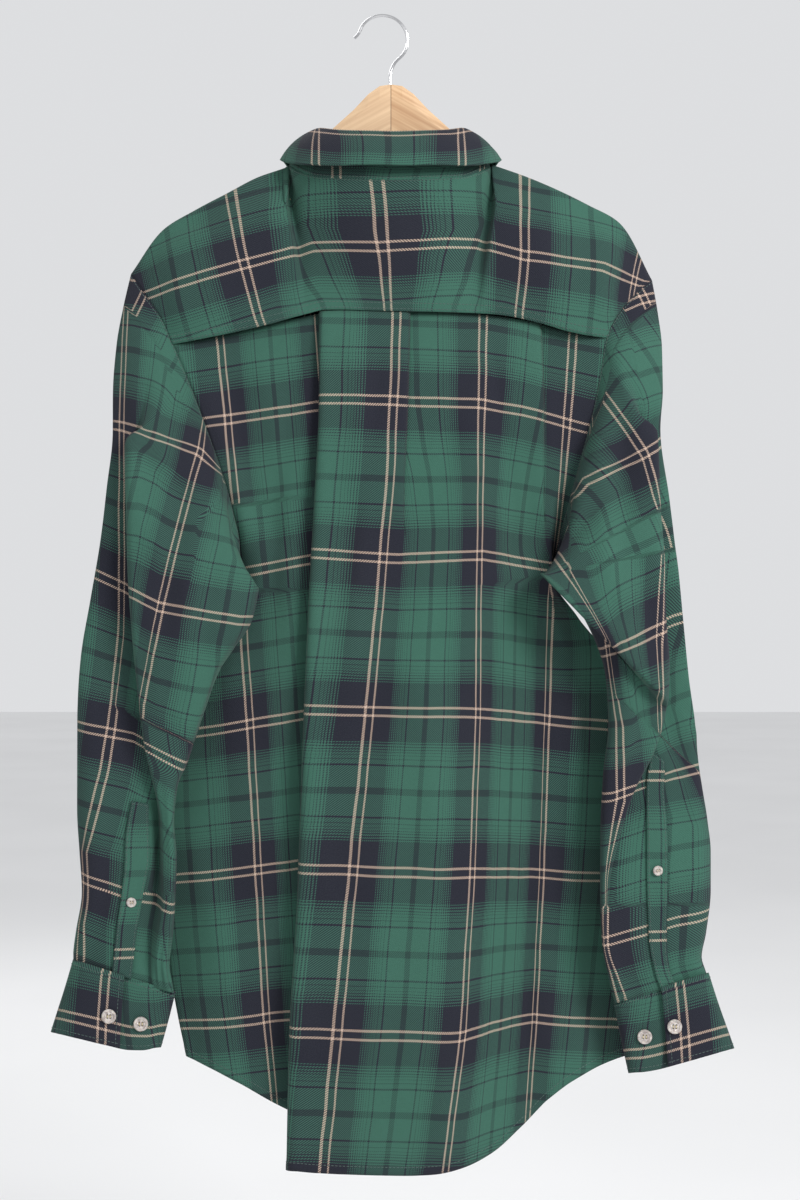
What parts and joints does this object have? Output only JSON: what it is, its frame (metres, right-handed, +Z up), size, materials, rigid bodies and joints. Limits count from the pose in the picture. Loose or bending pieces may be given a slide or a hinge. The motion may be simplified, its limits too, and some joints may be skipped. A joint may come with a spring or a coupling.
{
  "type": "flannel shirt on a hanger",
  "caption": "Long-sleeved buttoned flannel shirt in green plaid, with yoke, collar and pleated back, hanging from a wooden hanger with a wire hook.",
  "frame": {"origin": "the inside of the top of the hanger's hook, where it rests on a rod or peg", "axes": "+X to the right when the back of the shirt is looked at, -Y towards the side that the back faces, +Z up"},
  "size_m": [0.5352, 0.1218, 0.9178],
  "materials": {
    "flannel": "brushed plaid flannel",
    "button": "pearly",
    "hook_metal": "polished",
    "hanger_wood": "pale satin varnish"
  },
  "bodies": {
    "root": {"yoke": "flannel", "back": "flannel", "front_left": "flannel", "front_right": "flannel", "sleeve_left": "flannel", "sleeve_right": "flannel", "cuff_left": "flannel", "cuff_right": "flannel", "placket_left": "flannel", "placket_right": "flannel", "front_band": "flannel", "collar_stand": "flannel", "collar_fall": "flannel", "front_button_1": "button", "front_button_2": "button", "front_button_3": "button", "front_button_4": "button", "front_button_5": "button", "front_button_6": "button", "stand_button": "button", "cuff_button_left_1": "button", "cuff_button_left_2": "button", "cuff_button_right_1": "button", "cuff_button_right_2": "button", "placket_button_left": "button", "placket_button_right": "button", "hanger_wood": "hanger_wood", "hanger_hook": "hook_metal"}
  },
  "joints": []
}
